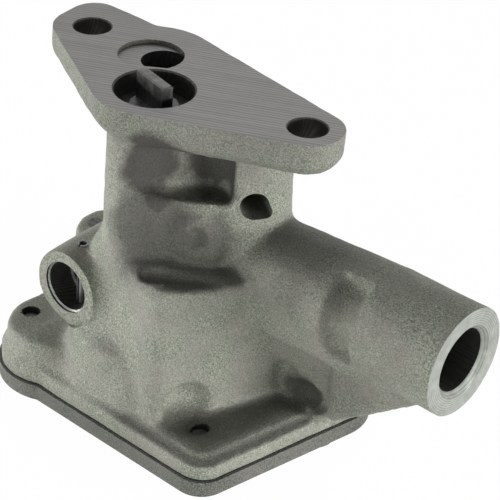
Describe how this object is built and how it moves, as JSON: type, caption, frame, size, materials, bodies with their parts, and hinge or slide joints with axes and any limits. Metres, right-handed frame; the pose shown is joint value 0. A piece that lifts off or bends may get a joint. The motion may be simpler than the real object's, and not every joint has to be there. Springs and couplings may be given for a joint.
{
  "type": "engine oil pump",
  "caption": "Cast gear oil pump with a bolt-on mounting flange, tanged drive shaft, inlet tube, relief valve and flat cover.",
  "frame": {"origin": "where the drive shaft's axis meets the mounting face", "axes": "+Z out of the mounting face along the drive shaft, +X along the inlet tube towards its mouth, -Y along the relief bore towards its mouth"},
  "size_m": [0.1468, 0.081, 0.1021],
  "materials": {
    "cast_body": "sand cast",
    "cover": "sand cast, ground inside",
    "gasket": "matte",
    "ground_steel": "ground",
    "gear_steel": "sintered and ground",
    "spring_steel": "oiled",
    "screw_steel": "zinc flake"
  },
  "bodies": {
    "pump": {"pump_body": "cast_body", "cover_plate": "cover", "cover_gasket": "gasket", "idler_shaft": "ground_steel", "relief_retaining_pin": "spring_steel", "relief_spring": "spring_steel", "cover_screw_1": "screw_steel", "cover_screw_2": "screw_steel", "cover_screw_3": "screw_steel", "cover_screw_4": "screw_steel", "cover_screw_5": "screw_steel", "cover_screw_6": "screw_steel", "cover_lock_washer_1": "spring_steel", "cover_lock_washer_2": "spring_steel", "cover_lock_washer_3": "spring_steel", "cover_lock_washer_4": "spring_steel", "cover_lock_washer_5": "spring_steel", "cover_lock_washer_6": "spring_steel"},
    "drive": {"drive_shaft": "ground_steel", "drive_gear": "gear_steel"},
    "idler": {"idler_gear": "gear_steel"},
    "relief": {"relief_plunger": "ground_steel"}
  },
  "joints": [
    {"name": "drive_spin", "type": "hinge", "parent": "pump", "child": "drive", "pos_m": [0, 0, 0], "axis": [0, 0, 1], "continuous": true},
    {"name": "idler_spin", "type": "hinge", "parent": "pump", "child": "idler", "pos_m": [0, 0.029, 0], "axis": [0, 0, 1], "continuous": true},
    {"name": "relief_slide", "type": "slide", "parent": "pump", "child": "relief", "axis": [0, -1, 0], "range_m": [0, 0.0045], "stiffness_N_per_m": 4000, "springref_m": -0.006, "deforming": ["relief_spring"]}
  ],
  "couplings": [
    {"joint": "idler_spin", "follows": "drive_spin", "ratio": -1}
  ]
}
